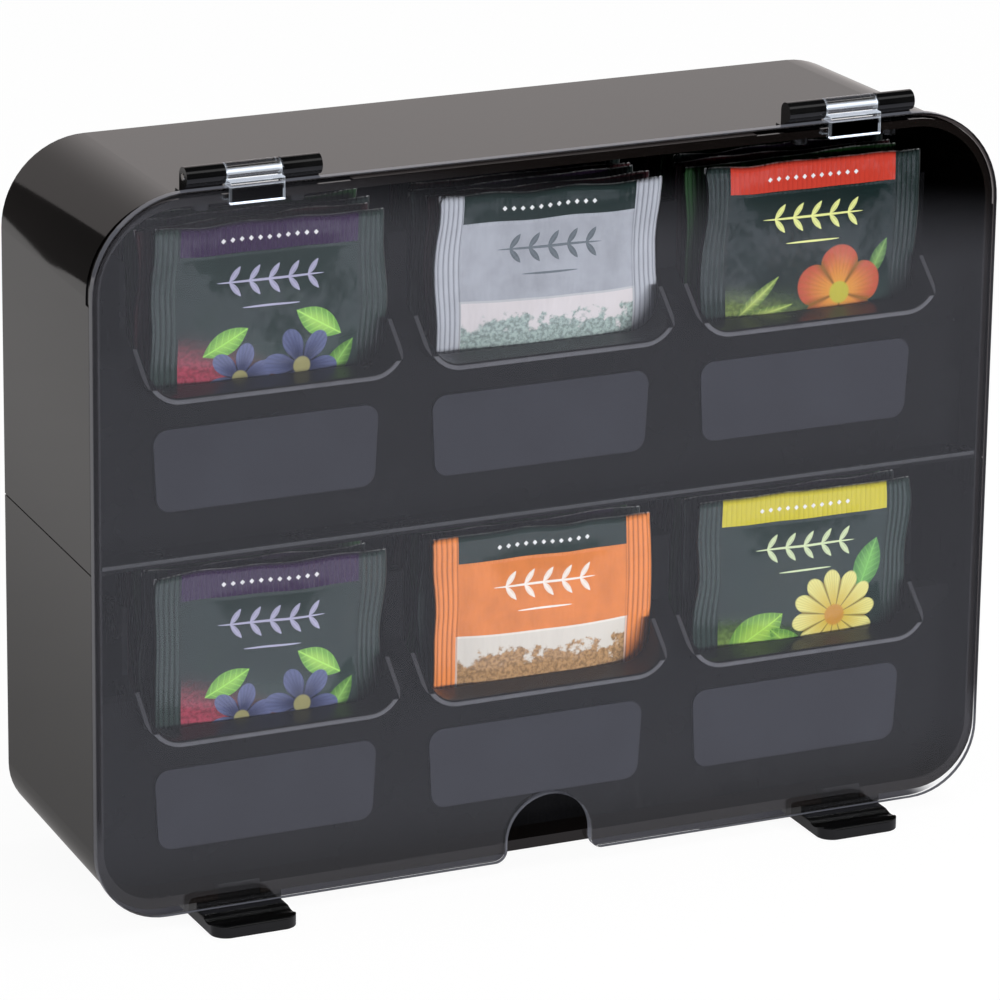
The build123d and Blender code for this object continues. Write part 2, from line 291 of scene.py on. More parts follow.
def printedFlowerGroup():
    # a printed bloom: radius swings with the angle, and each petal is shaded from its fold
    group, given, result = newGroup(
        "printedFlower",
        {"X": 0.0, "Y": 0.0, "Center X": 0.0, "Center Y": 0.0, "Radius": 10.0,
         "Petals": 6.0, "Waist": 0.5, "Turn": 0.0},
        {"Mask": float, "Depth": float, "Fold": float, "Heart": float})
    dx = minus(group, given["X"], given["Center X"])
    dy = minus(group, given["Y"], given["Center Y"])
    angle = minus(group, calc(group, "ARCTAN2", dy, dx), given["Turn"])
    swing = calc(group, "COSINE", times(group, angle, times(group, given["Petals"], 0.5)))
    wave = absolute(group, swing)
    share = calc(group, "MULTIPLY_ADD", calc(group, "POWER", wave, 0.7),
                 minus(group, 1.0, given["Waist"]), given["Waist"])
    radius = calc(group, "SQRT", plus(group, times(group, dx, dx), times(group, dy, dy)))
    depth = calc(group, "DIVIDE", radius, times(group, given["Radius"], share))
    group.links.new(remap(group, depth, 1.03, 0.98), result["Mask"])
    group.links.new(depth, result["Depth"])
    fine = calc(group, "SINE", times(group, angle, times(group, given["Petals"], 4.0)))
    veins = calc(group, "MULTIPLY_ADD", absolute(group, fine), 0.25, 0.75)
    group.links.new(times(group, remap(group, wave, 0.02, 0.45), veins), result["Fold"])
    inward = calc(group, "DIVIDE", radius, given["Radius"])
    group.links.new(remap(group, inward, 0.26, 0.20), result["Heart"])
    return group


mouldedSkin = mouldedSkinGroup()
handling = handlingGroup()
sachetLayout = sachetLayoutGroup()
printedShape = printedShapeGroup()
printedFlower = printedFlowerGroup()
print("surface effects ready")


# cloud and grain are noise scales per metre, marks is how much handling shows
mouldedFinishes = {
    "shellBlack": {
        "color": (0.0052, 0.0040, 0.0036), "second": (0.0075, 0.0058, 0.0052), "specular": 0.5,
        "cloud": 22.0, "grain": 1400.0, "roughness": 0.045, "spread": 0.03, "bump": 0.008, "marks": 0.06},
    "innerBlack": {
        "color": (0.0022, 0.0022, 0.0025), "second": (0.0032, 0.0032, 0.0036), "specular": 0.08,
        "cloud": 30.0, "grain": 700.0, "roughness": 0.26, "spread": 0.08, "bump": 0.001, "marks": 0.05},
    "hingeBlack": {
        "color": (0.0022, 0.0022, 0.0024), "second": (0.004, 0.004, 0.004), "specular": 0.5,
        "cloud": 90.0, "grain": 2200.0, "roughness": 0.12, "spread": 0.05, "bump": 0.02, "marks": 0.12},
    "footBlack": {
        "color": (0.0022, 0.0022, 0.0024), "second": (0.004, 0.004, 0.004), "specular": 0.5,
        "cloud": 70.0, "grain": 2000.0, "roughness": 0.12, "spread": 0.06, "bump": 0.02, "marks": 0.15},
    "labelGrey": {
        "color": (0.0240, 0.0245, 0.0325), "second": (0.0280, 0.0290, 0.0380), "specular": 0.3,
        "cloud": 60.0, "grain": 900.0, "roughness": 0.42, "spread": 0.10, "bump": 0.001, "marks": 0.05},
}


def mouldedMaterial(name, finish):
    material, tree, shader = newMaterial(name)[:3]
    skin = useGroup(tree, mouldedSkin, {
        "Color": rgba(finish["color"]), "Second Color": rgba(finish["second"]),
        "Cloud Scale": finish["cloud"], "Grain Scale": finish["grain"],
        "Roughness": finish["roughness"], "Spread": finish["spread"]})
    marks = useGroup(tree, handling, {"Amount": finish["marks"]})["Mask"]
    rough = plus(tree, skin["Roughness"], times(tree, marks, 0.5), clamp=True)
    feed(tree, shader, color=skin["Color"], roughness=rough,
         normal=bumpFrom(tree, skin["Height"], finish["bump"], 0.0002))
    shader.inputs["IOR"].default_value = 1.52  # moulded plastic
    shader.inputs["Specular IOR Level"].default_value = finish["specular"]
    return material, tree, shader, skin["Color"]


# where the compartments' rims lie, in metres, and the paler colour of the line along them, a painted
# highlight
rimHighlight = {
    "front": -0.02795, "frontLine": (0.00016, 0.00004), "level": 0.04165,
    "slopeStart": 0.0039, "slopeHeight": 0.0122, "slopeDepth": 0.014, "slopeLine": (0.0003, 0.0001),
    "column": 0.0784, "half": 0.0355, "sideLine": (0.0007, 0.0004),
    "color": (0.10, 0.10, 0.112), "slopeHighlight": (0.060, 0.060, 0.068), "coatRoughness": 0.16,
}
trayBases = {"trayUpper": 0.10195, "trayLower": 0.0086}


def trayMaterial(name, finish, rim, base):
    # the compartment rims get a painted highlight, a paler colour where their rounded edges would catch
    # the light
    material, tree, shader, plain = mouldedMaterial(name, finish)
    spot = axes(tree)
    unevenHighlight = noiseOf(tree, objectPlace(tree), 120.0, 3.0)
    unevenHighlight = remap(tree, unevenHighlight, 0.2, 0.6, 0.75, 1.0)  # a little uneven along the line
    start, end = rim["frontLine"]
    onRim = times(tree, remap(tree, spot[1], rim["front"] + start, rim["front"] + end), unevenHighlight)
    # painted highlight: the rim's front edge is paler, standing in for the light its rounded edge catches
    color = blendColors(tree, onRim, plain, rgba(rim["color"]))
    # higher up the rim's front slopes back, and the line follows its middle
    low = base + rim["level"] + rim["slopeStart"]
    rise = calc(tree, "DIVIDE", minus(tree, spot[2], low), rim["slopeHeight"], clamp=True)
    behind = minus(tree, spot[1], calc(tree, "MULTIPLY_ADD", rise, rim["slopeDepth"], rim["front"]))
    onSlope = remap(tree, absolute(tree, behind), *rim["slopeLine"])
    onSlope = times(tree, onSlope, calc(tree, "GREATER_THAN", rise, 0.005))
    onSlope = times(tree, onSlope, calc(tree, "LESS_THAN", rise, 0.9))
    # measured from the middle of the nearest of the three columns
    across = absolute(tree, spot[0])
    across = calc(tree, "MINIMUM", across, absolute(tree, minus(tree, across, rim["column"])))
    away = absolute(tree, minus(tree, across, rim["half"]))
    onSlope = times(tree, onSlope, remap(tree, away, *rim["sideLine"]))
    # the line up the rim's slope is painted highlight too; the coat on the rim is real gloss
    feed(tree, shader, color=blendColors(tree, onSlope, color, rgba(rim["slopeHighlight"])), coat=onRim)
    shader.inputs["Coat Roughness"].default_value = rim["coatRoughness"]
    return material


shelfEdge = {"depth": 0.0004, "height": 0.0009, "color": (0.055, 0.056, 0.062)}


def shelfMaterial(name, finish, edge):
    # the shelf's upper front edge is rounded and catches the light
    material, tree, shader, plain = mouldedMaterial(name, finish)
    low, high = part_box("mid_shelf")
    spot = axes(tree)
    inFront = remap(tree, spot[1], low.y + 2 * edge["depth"], low.y + edge["depth"])
    onTop = remap(tree, spot[2], high.z - 1.2 * edge["height"], high.z - edge["height"])
    lit = blendColors(tree, times(tree, inFront, onTop), plain, rgba(edge["color"]))
    feed(tree, shader, color=lit)
    return material


# marks is the roughness that scratches and smudges leave
clearFinishes = {
    "clearPanel": {"tint": (0.985, 0.99, 1.0), "cloudy": (0.95, 0.965, 0.985), "marks": 0.015},
    "clearLeaf": {"tint": (1.0, 1.0, 1.0), "cloudy": (0.96, 0.97, 0.98), "marks": 0.01},
}
acrylic = {"ior": 1.49, "scratches": 45.0, "shadow": (0.93, 0.93, 0.93, 1.0)}
# the dark outline is painted shade along the door's edge: it starts "clear" inside the edge and is full
# at "full", from the height
# "start" to "end"; the glow is painted light, standing in for the light that comes out of the sheet's
# narrow sides
doorEdge = {
    "clear": 0.0017, "full": 0.0011, "color": (0.06, 0.052, 0.052), "roughness": 0.05,
    "radius": 0.0264, "start": 0.020, "end": 0.036, "rim": (0.0001, 0.0004), "near": 0.006,
    "glow": (0.92, 0.95, 1.12), "sideGlow": 0.05, "topGlow": 0.10, "lowGlow": 0.08,
}
# the bands are painted highlights, glowing lines for the reflections in the clear knuckle: height, half
# width and strength of each
leafEdge = {
    "glow": (0.80, 0.88, 1.0), "sideGlow": 0.08, "front": -0.0290, "side": (0.0005, 0.0002),
    "bands": [(0.2036, 0.0009, 0.42), (0.20145, 0.0003, 0.45), (0.2000, 0.00025, 0.16),
              (0.1956, 0.00025, 0.35)],
}


def paintedEdgeShade(tree, edge):
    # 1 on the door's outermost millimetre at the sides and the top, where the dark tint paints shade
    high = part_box("door_panel")[1]
    spot = axes(tree)
    fromSide = larger(tree, minus(tree, absolute(tree, spot[0]), high.x - edge["radius"]), 0.0)
    fromTop = larger(tree, minus(tree, spot[2], high.z - edge["radius"]), 0.0)
    squares = plus(tree, times(tree, fromSide, fromSide), times(tree, fromTop, fromTop))
    reach = calc(tree, "SQRT", squares)
    near = remap(tree, reach, edge["radius"] - edge["clear"], edge["radius"] - edge["full"])
    return times(tree, near, remap(tree, spot[2], edge["start"], edge["end"]))


def doorEdgeMasks(tree, edge):
    # the narrow sides of the sheet, and how strongly they glow there: painted light for the light the
    # sheet carries out to its edges
    low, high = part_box("door_panel")
    spot = axes(tree)
    start, end = edge["rim"]
    sawn = times(tree, remap(tree, spot[1], low.y + start, low.y + end),
                 remap(tree, spot[1], high.y - start, high.y - end))
    upper = remap(tree, spot[2], high.z - edge["radius"], high.z - edge["near"],
                  edge["sideGlow"], edge["topGlow"])
    lower = remap(tree, spot[2], low.z + edge["radius"], low.z + edge["near"],
                  edge["sideGlow"], edge["lowGlow"])
    return sawn, times(tree, sawn, larger(tree, upper, lower))


def leafHighlightMask(tree, edge):
    # painted highlights: glowing lines along the clear knuckle and round its pad
    spot = axes(tree)
    strength = 0.0
    for height, half, level in edge["bands"]:
        away = absolute(tree, minus(tree, spot[2], height))
        strength = larger(tree, strength, remap(tree, away, half, 0.5 * half, 0.0, level))
    low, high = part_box("hinge_leaf_right")
    middle, half = (low.x + high.x) / 2, (high.x - low.x) / 2
    away = absolute(tree, minus(tree, absolute(tree, spot[0]), middle))
    side = remap(tree, away, half - edge["side"][0], half - edge["side"][1], 0.0, edge["sideGlow"])
    inFront = remap(tree, spot[1], edge["front"] + 0.0005, edge["front"])
    return times(tree, larger(tree, strength, side), inFront)


def clearMaterial(name, finish):
    # solid acrylic that lets the lamps through to what stands behind it
    material, tree, shader, surface = newMaterial(name)
    marks = useGroup(tree, handling, {"Amount": 1.0, "Scratch Scale": acrylic["scratches"]})["Mask"]
    color = blendColors(tree, marks, rgba(finish["tint"]), rgba(finish["cloudy"]))
    roughness = times(tree, marks, finish["marks"])
    if name == "clearPanel":
        sawn, strength = doorEdgeMasks(tree, doorEdge)
        roughness = calc(tree, "MULTIPLY_ADD", sawn, doorEdge["roughness"], roughness)
        # painted shade: the door's outermost millimetre is tinted dark
        color = blendColors(tree, paintedEdgeShade(tree, doorEdge), color, rgba(doorEdge["color"]))
        glow = doorEdge["glow"]
    else:
        strength = leafHighlightMask(tree, leafEdge)
        glow = leafEdge["glow"]
    # the emission is painted light on the door's edges and the leaf's lines; neither is a lamp
    feed(tree, shader, color=color, roughness=roughness,
         emission=blendColors(tree, strength, (0, 0, 0, 1), rgba(glow)))
    shader.inputs["Emission Strength"].default_value = 1.0
    shader.inputs["IOR"].default_value = acrylic["ior"]
    shader.inputs["Transmission Weight"].default_value = 1.0
    shadowRay = addNode(tree, "ShaderNodeLightPath").outputs["Is Shadow Ray"]
    through = addNode(tree, "ShaderNodeBsdfTransparent", {"Color": acrylic["shadow"]})
    both = addNode(tree, "ShaderNodeMixShader",
                   {0: shadowRay, 1: shader.outputs[0], 2: through.outputs[0]})
    tree.links.new(both.outputs[0], surface)
    return material


pinFinish = {"color": (0.62, 0.61, 0.59), "dull": (0.42, 0.41, 0.40), "roughness": 0.22,
             "spread": 0.15, "grain": 240.0, "marks": 0.6}


def steelMaterial(name, finish):
    # ground rod: grain lines round the pin
    material, tree, shader = newMaterial(name)[:3]
    lines = noiseOf(tree, objectPlace(tree, (12, 0.6, 0.6)), finish["grain"], 4.0)
    marks = useGroup(tree, handling, {"Amount": finish["marks"]})["Mask"]
    feed(tree, shader,
         color=blendColors(tree, lines, rgba(finish["dull"]), rgba(finish["color"])),
         roughness=plus(tree, calc(tree, "MULTIPLY_ADD", lines, finish["spread"], finish["roughness"]),
                        times(tree, marks, 0.2), clamp=True),
         normal=bumpFrom(tree, lines, 0.15, 0.0001))
    shader.inputs["Metallic"].default_value = 1.0
    return material


materials = {name: mouldedMaterial(name, finish)[0] for name, finish in mouldedFinishes.items()}
for name, finish in clearFinishes.items():
    materials[name] = clearMaterial(name, finish)
materials["pinSteel"] = steelMaterial("pinSteel", pinFinish)
materials["shelfBlack"] = shelfMaterial("shelfBlack", mouldedFinishes["innerBlack"], shelfEdge)
for name, base in trayBases.items():
    materials[name] = trayMaterial(name, mouldedFinishes["innerBlack"], rimHighlight, base)

nodeFinishes = {
    "outer_shell": "shellBlack", "mid_shelf": "shelfBlack", "upper_tray": "trayUpper",
    "lower_tray": "trayLower", "door_panel": "clearPanel", "hinge_leaf": "clearLeaf",
    "hinge_bracket": "hingeBlack", "hinge_pin": "pinSteel", "foot": "footBlack",
    "label_plate": "labelGrey",
}
for nodeName, piece in nodes.items():
    for start, finish in nodeFinishes.items():
        if nodeName.startswith(start):
            piece.data.materials.clear()
            piece.data.materials.append(materials[finish])
print("CAD pieces finished")


# copies of the CAD shapes with softened edges; edge and corner are radii in metres
fineParts = {
    "door_panel": {"body": "door", "slot": "clear_panel", "finish": "clearPanel", "edge": 0.00045},
    "hinge_bracket": {"body": "box", "slot": "hinge_black", "finish": "hingeBlack", "edge": 0.00035},
    "hinge_leaf": {"body": "door", "slot": "clear_leaf", "finish": "clearLeaf", "edge": 0.00018},
    "hinge_pin": {"body": "box", "slot": "pin_steel", "finish": "pinSteel", "edge": 0.00020},
    "foot": {"body": "box", "slot": "foot_black", "finish": "footBlack", "edge": 0.00040,
             "corner": 0.0045},
    "label_plate": {"body": "box", "slot": "label_grey", "finish": "labelGrey", "edge": 0.00018},
}
sharpAngle = math.radians(36)
cornerSteps = 8


def roundCorner(mesh, middle, side, radius):
    # the front corner is cut off by planes that touch its arc
    for step in range(1, cornerSteps):
        angle = math.radians(90 * step / cornerSteps)
        ahead = Vector((side * math.cos(angle), -math.sin(angle), 0))
        everything = mesh.verts[:] + mesh.edges[:] + mesh.faces[:]
        cut = bmesh.ops.bisect_plane(mesh, geom=everything, plane_co=middle + radius * ahead,
                                     plane_no=ahead, clear_outer=True)
        rim = [part for part in cut["geom_cut"] if isinstance(part, bmesh.types.BMEdge)]
        bmesh.ops.contextual_create(mesh, geom=rim)


def makeFinePart(nodeName, look):
    mesh = bmesh.new()
    mesh.from_mesh(nodes[nodeName].data)
    bmesh.ops.remove_doubles(mesh, verts=mesh.verts, dist=2e-6)
    bmesh.ops.dissolve_limit(mesh, angle_limit=math.radians(0.5), verts=mesh.verts, edges=mesh.edges)
    if "corner" in look:
        low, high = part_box(nodeName)
        for side, x in ((-1, low.x + look["corner"]), (1, high.x - look["corner"])):
            roundCorner(mesh, Vector((x, low.y + look["corner"], 0)), side, look["corner"])
    for face in mesh.faces:
        face.smooth = True
    piece = meshObject(f"{nodeName}_fine", mesh)
    data = piece.data
    if "custom_normal" in data.attributes:  # they belong to the unsoftened shape
        data.attributes.remove(data.attributes["custom_normal"])
    data.set_sharp_from_angle(angle=sharpAngle)
    data.materials.append(materials[look["finish"]])
    bevel = piece.modifiers.new("softEdges", "BEVEL")
    bevel.width = look["edge"]
    bevel.segments = 3
    bevel.limit_method = "ANGLE"
    bevel.angle_limit = sharpAngle
    even = piece.modifiers.new("evenShading", "WEIGHTED_NORMAL")
    even.keep_sharp = True
    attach(piece, look["body"])
    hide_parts(nodeName)


for nodeName in nodes:
    for start, look in fineParts.items():
        if nodeName.startswith(start):
            makeFinePart(nodeName, look)
print("small parts softened")


def plainPrint(ground, land, ornament, band=None):
    # the packets behind show little more than their edges
    return {"ground": ground, "band": band or ground, "frame": None, "pictureTop": 40.0, "shine": 0.15,
            "sky": ground, "land": land, "ornament": ornament, "leaves": [], "flowers": []}


# places and sizes in millimetres from the packet's lower left corner, turns in radians
sachetPrints = {
    "violet": {
        "ground": (0.011, 0.026, 0.022), "band": (0.030, 0.012, 0.052), "frame": None,
        "sky": (0.030, 0.050, 0.045), "land": (0.30, 0.03, 0.06), "ornament": (0.33, 0.32, 0.45),
        "pictureTop": 55.0, "shine": 0.9,
        "leaves": [
            {"at": (20, 50), "size": (7, 3.2), "turn": 0.5,
             "inside": (0.30, 0.60, 0.10), "edge": (0.15, 0.36, 0.06)},
            {"at": (46, 53), "size": (7.5, 3.6), "turn": 2.6,
             "inside": (0.34, 0.62, 0.11), "edge": (0.15, 0.36, 0.06)},
            {"at": (51, 41), "size": (8, 3.0), "turn": 0.9,
             "inside": (0.20, 0.40, 0.09), "edge": (0.08, 0.20, 0.04)}],
        "flowers": [
            {"at": (24, 40), "radius": 9.5, "petals": 6, "waist": 0.35, "turn": 0.3,
             "inside": (0.03, 0.035, 0.09), "edge": (0.13, 0.15, 0.30), "heart": (0.30, 0.28, 0.12)},
            {"at": (41, 42), "radius": 10.5, "petals": 6, "waist": 0.35, "turn": 0.9,
             "inside": (0.02, 0.025, 0.07), "edge": (0.11, 0.13, 0.27), "heart": (0.30, 0.28, 0.12)}]},
    "silver": {
        "ground": (0.40, 0.42, 0.475), "band": (0.009, 0.022, 0.020), "frame": (0.50, 0.51, 0.54),
        "sky": (0.66, 0.62, 0.64), "land": (0.20, 0.25, 0.24), "ornament": (0.11, 0.13, 0.15),
        "pictureTop": 52.5, "shine": 0.9, "leaves": [], "flowers": []},
    "scarlet": {
        "ground": (0.008, 0.0195, 0.0185), "band": (0.56, 0.050, 0.030), "frame": None,
        "sky": (0.020, 0.040, 0.035), "land": (0.16, 0.22, 0.05), "ornament": (0.62, 0.66, 0.24),
        "pictureTop": 50.0, "shine": 0.9,
        "leaves": [
            {"at": (16, 44), "size": (9, 1.6), "turn": 0.75,
             "inside": (0.36, 0.46, 0.12), "edge": (0.12, 0.20, 0.05)},
            {"at": (18, 40), "size": (9, 1.6), "turn": 0.25,
             "inside": (0.36, 0.46, 0.12), "edge": (0.12, 0.20, 0.05)},
            {"at": (53, 52), "size": (6, 2.2), "turn": 1.1,
             "inside": (0.16, 0.30, 0.08), "edge": (0.06, 0.14, 0.04)}],
        "flowers": [
            {"at": (41, 44), "radius": 13.0, "petals": 5, "waist": 0.72, "turn": 0.3,
             "inside": (0.75, 0.32, 0.05), "edge": (0.50, 0.085, 0.045), "heart": (0.50, 0.45, 0.05)}]},
    "orange": {
        "ground": (0.80, 0.235, 0.045), "band": (0.011, 0.027, 0.023), "frame": (0.82, 0.76, 0.70),
        "sky": (0.70, 0.66, 0.60), "land": (0.26, 0.15, 0.065), "ornament": (0.86, 0.72, 0.62),
        "pictureTop": 53.0, "shine": 0.9, "leaves": [], "flowers": []},
    "lemon": {
        "ground": (0.011, 0.027, 0.023), "band": (0.60, 0.52, 0.032), "frame": None,
        "sky": (0.009, 0.022, 0.018), "land": (0.12, 0.20, 0.03), "ornament": (0.50, 0.58, 0.35),
        "pictureTop": 50.0, "shine": 0.9,
        "leaves": [
            {"at": (52, 58), "size": (8, 4.4), "turn": 1.2,
             "inside": (0.16, 0.42, 0.09), "edge": (0.07, 0.22, 0.05)},
            {"at": (18, 42), "size": (9.5, 5.5), "turn": 0.6,
             "inside": (0.34, 0.58, 0.08), "edge": (0.14, 0.32, 0.05)},
            {"at": (28, 38), "size": (8, 3.6), "turn": 2.4,
             "inside": (0.26, 0.48, 0.07), "edge": (0.10, 0.26, 0.04)}],
        "flowers": [
            {"at": (42, 45), "radius": 13.0, "petals": 12, "waist": 0.74, "turn": 0.1,
             "inside": (0.66, 0.48, 0.06), "edge": (0.78, 0.74, 0.26), "heart": (0.55, 0.26, 0.03)}]},
    # the packets behind have dark prints: partly their own colours, partly painted shade for their place
    # deep in the compartments
    "meadow": plainPrint((0.010, 0.050, 0.012), (0.02, 0.08, 0.02), (0.2, 0.24, 0.13)),
    "wine": plainPrint((0.042, 0.008, 0.012), (0.05, 0.01, 0.01), (0.2, 0.16, 0.13)),
    "dusk": plainPrint((0.007, 0.015, 0.014), (0.02, 0.03, 0.01), (0.2, 0.2, 0.2), (0.022, 0.012, 0.030)),
}
white = (0.83, 0.83, 0.84)


def addLeaf(tree, color, layout, leaf, power=1.0):
    made = useGroup(tree, printedShape, {
        "X": layout["X"], "Y": layout["Y"], "Center X": leaf["at"][0], "Center Y": leaf["at"][1],
        "Half Length": leaf["size"][0], "Half Width": leaf["size"][1], "Turn": leaf["turn"],
        "Power": power})
    inside = blendColors(tree, remap(tree, made["Depth"], 0.1, 0.95),
                         rgba(leaf["inside"]), rgba(leaf["edge"]))
    inside = blendColors(tree, times(tree, made["Rib"], 0.5), inside, toned(leaf["inside"], 1.6))
    return blendColors(tree, made["Mask"], color, inside)


def addFlower(tree, color, layout, flower):
    made = useGroup(tree, printedFlower, {
        "X": layout["X"], "Y": layout["Y"], "Center X": flower["at"][0], "Center Y": flower["at"][1],
        "Radius": flower["radius"], "Petals": flower["petals"], "Waist": flower["waist"],
        "Turn": flower["turn"]})
    petal = blendColors(tree, remap(tree, made["Depth"], 0.15, 1.0),
                        rgba(flower["inside"]), rgba(flower["edge"]))
    petal = blendColors(tree, made["Fold"], toned(flower["inside"], 0.35), petal)
    petal = blendColors(tree, made["Heart"], petal, rgba(flower["heart"]))
    return blendColors(tree, made["Mask"], color, petal)


# a stem with paired leaves and a short line under it, the same on every packet
sprig = {"stem": ((32.5, 66.0), (15.0, 0.35)), "line": ((32.5, 59.0), (8.0, 0.3)), "pairs": 5,
         "first": (22.4, 66.0), "step": 5.5, "apart": 1.9, "leaf": (2.6, 0.8), "turn": 0.9}


def addSprig(tree, color, layout, paint):
    for at, size in (sprig["stem"], sprig["line"]):
        bar = {"at": at, "size": size, "turn": 0.0, "inside": paint, "edge": paint}
        color = addLeaf(tree, color, layout, bar, 2.0)
    x, y = sprig["first"]
    for pair in range(sprig["pairs"]):
        for side in (-1, 1):
            leaf = {"at": (x + sprig["step"] * pair, y + side * sprig["apart"]), "size": sprig["leaf"],
                    "turn": side * sprig["turn"], "inside": paint, "edge": paint}
            color = addLeaf(tree, color, layout, leaf)
    return color


# the hills rise and fall about a line below the picture's top, the glow sits low on the left
scenery = {"hillSwing": 24.0, "hillDrop": 18.0, "glowFrom": 66.0, "glowTo": 46.0, "glow": 0.8,
           "fade": 12.0}


def addPicture(tree, color, layout, look, place):
    soil = remap(tree, noiseOf(tree, place, 0.9, 3.0), 0.35, 0.65)
    land = blendColors(tree, soil, rgba(look["land"]), toned(look["land"], 1.9, 0.01))
    top = look["pictureTop"]
    if look["frame"]:
        skyline = noiseOf(tree, place, 0.16, 6.0, 0.62)
        ridge = calc(tree, "MULTIPLY_ADD", skyline, scenery["hillSwing"], top - scenery["hillDrop"])
        hill = remap(tree, minus(tree, ridge, layout["Y"]), -0.8, 1.2)
        hills = blendColors(tree, hill, rgba(look["sky"]), land)
        color = blendColors(tree, layout["Picture Mask"], color, hills)
        return blendColors(tree, layout["Frame Mask"], color, rgba(look["frame"]))
    slanted = plus(tree, times(tree, layout["X"], 0.6), layout["Y"])
    glow = times(tree, remap(tree, slanted, scenery["glowFrom"], scenery["glowTo"]), scenery["glow"])
    fade = times(tree, layout["Picture Mask"], remap(tree, layout["Y"], top, top - scenery["fade"]))
    return blendColors(tree, fade, color, blendColors(tree, glow, rgba(look["sky"]), land))


bandRow = {"pitch": 2.6, "height": 76.8, "middle": 32.5, "half": 14.3, "edge": (0.80, 0.60)}


def bandRowMask(tree, layout):
    # a row of small lozenges along the band
    beat = calc(tree, "FRACT", calc(tree, "DIVIDE", layout["X"], bandRow["pitch"]))
    aside = times(tree, absolute(tree, minus(tree, beat, 0.5)), bandRow["pitch"])
    above = absolute(tree, minus(tree, layout["Y"], bandRow["height"]))
    lozenge = remap(tree, plus(tree, aside, above), *bandRow["edge"])
    fromMiddle = absolute(tree, minus(tree, layout["X"], bandRow["middle"]))
    return times(tree, lozenge, calc(tree, "LESS_THAN", fromMiddle, bandRow["half"]))


# two of these are strengths of painted light on the crimped seams: shade between the ridges and highlight
# on them
foil = {"mottle": 0.80, "furrowShade": 0.5, "ridge": 0.7, "cutEdge": 0.45, "roughness": 0.12, "spread": 0.10,
        "crimpHeight": 0.25, "creaseHeight": 0.9, "bump": 0.8, "distance": 0.0012, "ior": 1.55}


def sachetMaterial(name, look):
    material, tree, shader = newMaterial(name)[:3]
    layout = useGroup(tree, sachetLayout, {"Picture Top": look["pictureTop"]})
    place = addNode(tree, "ShaderNodeCombineXYZ", {0: layout["X"], 1: layout["Y"]}).outputs[0]
    mottle = noiseOf(tree, place, 0.11, 4.0)
    color = blendColors(tree, remap(tree, mottle, 0.3, 0.75),
                        rgba(look["ground"]), toned(look["ground"], foil["mottle"]))
    color = addPicture(tree, color, layout, look, place)
    for leaf in look["leaves"]:
        color = addLeaf(tree, color, layout, leaf)
    for flower in look["flowers"]:
        color = addFlower(tree, color, layout, flower)
    color = addSprig(tree, color, layout, look["ornament"])
    color = blendColors(tree, layout["Band Mask"], color, rgba(look["band"]))
    color = blendColors(tree, bandRowMask(tree, layout), color, rgba(white))
    # the crimped seams get painted shade between their ridges and a painted highlight on them, and are
    # paler along the cut edge
    furrowShade = times(tree, layout["Seam Mask"], foil["furrowShade"])
    furrowShade = times(tree, minus(tree, 1.0, layout["Crimp"]), furrowShade)
    color = blendColors(tree, furrowShade, color, (0.0, 0.0, 0.0, 1.0))
    ridge = times(tree, layout["Crimp"], times(tree, layout["Seam Mask"], foil["ridge"]))
    ridge = times(tree, ridge, minus(tree, 1.0, layout["Band Mask"]))
    color = blendColors(tree, ridge, color, toned(look["ground"], 1.12, 0.022))
    color = blendColors(tree, times(tree, layout["Cut Edge"], foil["cutEdge"]), color, rgba(white))
    height = plus(tree, times(tree, layout["Crimp"], foil["crimpHeight"]),
                  times(tree, layout["Crease"], foil["creaseHeight"]))
    feed(tree, shader, color=color,
         roughness=calc(tree, "MULTIPLY_ADD", mottle, foil["spread"], foil["roughness"]),
         normal=bumpFrom(tree, height, foil["bump"], foil["distance"]))
    shader.inputs["IOR"].default_value = foil["ior"]
    shader.inputs["Specular IOR Level"].default_value = look["shine"]
    return material


for name, look in sachetPrints.items():
    materials[name] = sachetMaterial(name, look)


# one packet, in metres; the powers say how full it stays towards its seams
pouch = {
    "width": 0.065, "height": 0.0815, "halfFill": 0.0021, "seam": 0.0076, "topSeal": 0.005,
    "columns": 46, "rows": 44, "sheet": 0.00012, "sidePower": 3.2, "topPower": 4.0, "swellPower": 1.25,
    "puff": 0.30, "spread": 0.0009, "sideWave": 0.0020, "topWave": 0.0008,
}


